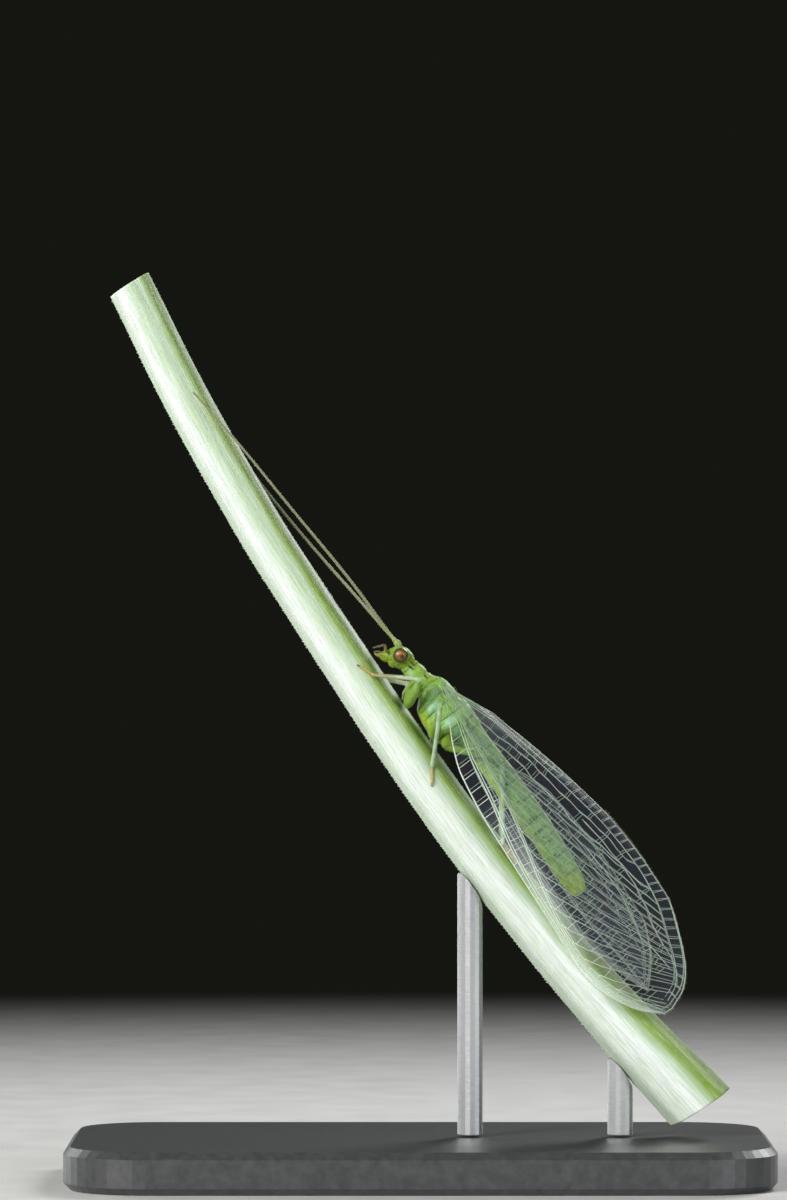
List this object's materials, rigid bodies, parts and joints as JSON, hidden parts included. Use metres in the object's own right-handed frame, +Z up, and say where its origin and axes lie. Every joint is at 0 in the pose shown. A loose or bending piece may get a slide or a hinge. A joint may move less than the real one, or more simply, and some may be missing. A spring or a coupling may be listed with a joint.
{
  "type": "green lacewing on a plant stem",
  "caption": "Green lacewing, life size, head up on a slanting cut plant stem with its wings folded like a roof, held by a flat display stand with rods.",
  "frame": {"origin": "on the floor, under the middle of the stand's base", "axes": "+Z up, -Y towards the side that shows the animal's left, -X towards the end where its head and feelers point"},
  "size_m": [0.025, 0.014, 0.0322],
  "materials": {
    "body": "satin",
    "eye": "gloss",
    "feeler": "matte",
    "leg": "satin",
    "wing": "gloss",
    "stem": "matte",
    "stand_base": "satin",
    "stand_rod": "brushed"
  },
  "bodies": {
    "root": {"stem": "stem", "head": "body", "prothorax": "body", "mesothorax": "body", "metathorax": "body", "abdomen": "body", "eye_left": "eye", "eye_right": "eye", "antenna_left": "feeler", "antenna_right": "feeler", "palp_left": "feeler", "palp_right": "feeler", "forewing_left": "wing", "forewing_right": "wing", "hindwing_left": "wing", "hindwing_right": "wing", "leg_fore_left": "leg", "leg_fore_right": "leg", "leg_mid_left": "leg", "leg_mid_right": "leg", "leg_hind_left": "leg", "leg_hind_right": "leg", "stand_base": "stand_base", "stand_rod_upper": "stand_rod", "stand_rod_lower": "stand_rod"}
  },
  "joints": []
}
